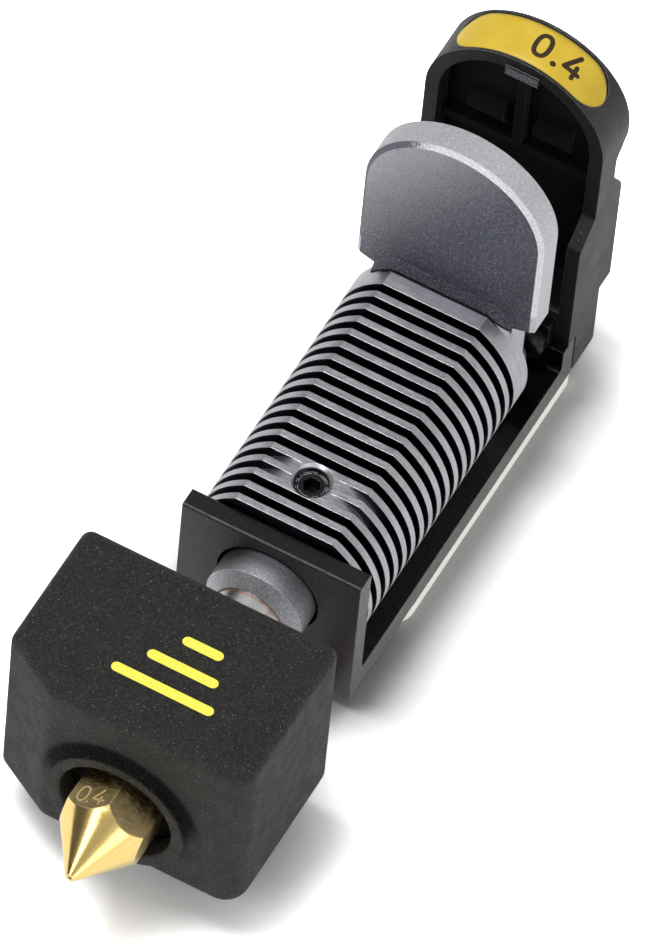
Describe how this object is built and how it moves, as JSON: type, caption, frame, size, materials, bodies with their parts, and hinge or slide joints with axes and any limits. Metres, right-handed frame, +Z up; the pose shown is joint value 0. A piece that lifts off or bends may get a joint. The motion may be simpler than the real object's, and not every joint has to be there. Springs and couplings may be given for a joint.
{
  "type": "3d printer hotend cartridge",
  "caption": "Compact printer hotend cartridge on a black bracket: finned aluminium heatsink, brass nozzle in a black silicone sock, metal locating plate and a black pull handle.",
  "frame": {"origin": "middle of the flat underside of the contact board, which the cartridge lies on and meets its carriage with", "axes": "+X to the right seen from the nozzle, +Y along the filament path from the nozzle to the pull handle, +Z up from the board towards the finger end of the handle"},
  "size_m": [0.0255, 0.0845, 0.0407],
  "materials": {
    "black_painted_steel": "satin black",
    "satin_aluminium": "satin",
    "block_aluminium": "machined",
    "bright_steel": "polished",
    "dark_screw_steel": "blackened",
    "blasted_steel": "bead blasted",
    "brass": "turned",
    "black_silicone": "matt with fine dust",
    "black_plastic": "fine grain",
    "yellow_label": "smooth",
    "white_liner": "smooth",
    "pale_board": "satin",
    "white_film": "matt",
    "contact_metal": "bright",
    "lead_insulation": "woven"
  },
  "bodies": {
    "cartridge": {"bracket": "black_painted_steel", "heatsink": "satin_aluminium", "heatsink_screws": "dark_screw_steel", "heat_break": "bright_steel", "filament_liner": "white_liner", "heater_block": "block_aluminium", "heater_cartridge": "bright_steel", "temperature_sensor": "bright_steel", "block_grub_screws": "dark_screw_steel", "locating_plate": "blasted_steel", "plate_screws": "dark_screw_steel", "pull_handle": "black_plastic", "handle_screws": "dark_screw_steel", "handle_label": "yellow_label", "contact_board": "pale_board", "contact_pads": "contact_metal", "board_film": "white_film", "lead_plug": "white_liner", "heater_leads": "lead_insulation", "sensor_leads": "lead_insulation", "lead_clamp": "black_plastic", "clamp_screw": "dark_screw_steel"},
    "sock": {"silicone_sock": "black_silicone"},
    "tip": {"nozzle": "brass"},
    "lock_screw": {"set_screw": "dark_screw_steel"}
  },
  "joints": [
    {"name": "sock_pull", "type": "slide", "parent": "cartridge", "child": "sock", "axis": [0, -1, 0], "range_m": [0, 0.03]},
    {"name": "nozzle_turn", "type": "hinge", "parent": "cartridge", "child": "tip", "pos_m": [0, -0.0519, 0.0126], "axis": [0, 1, 0], "continuous": true},
    {"name": "set_screw_turn", "type": "hinge", "parent": "cartridge", "child": "lock_screw", "pos_m": [0, -0.01875, 0.0185], "axis": [0, 0, 1], "continuous": true}
  ]
}
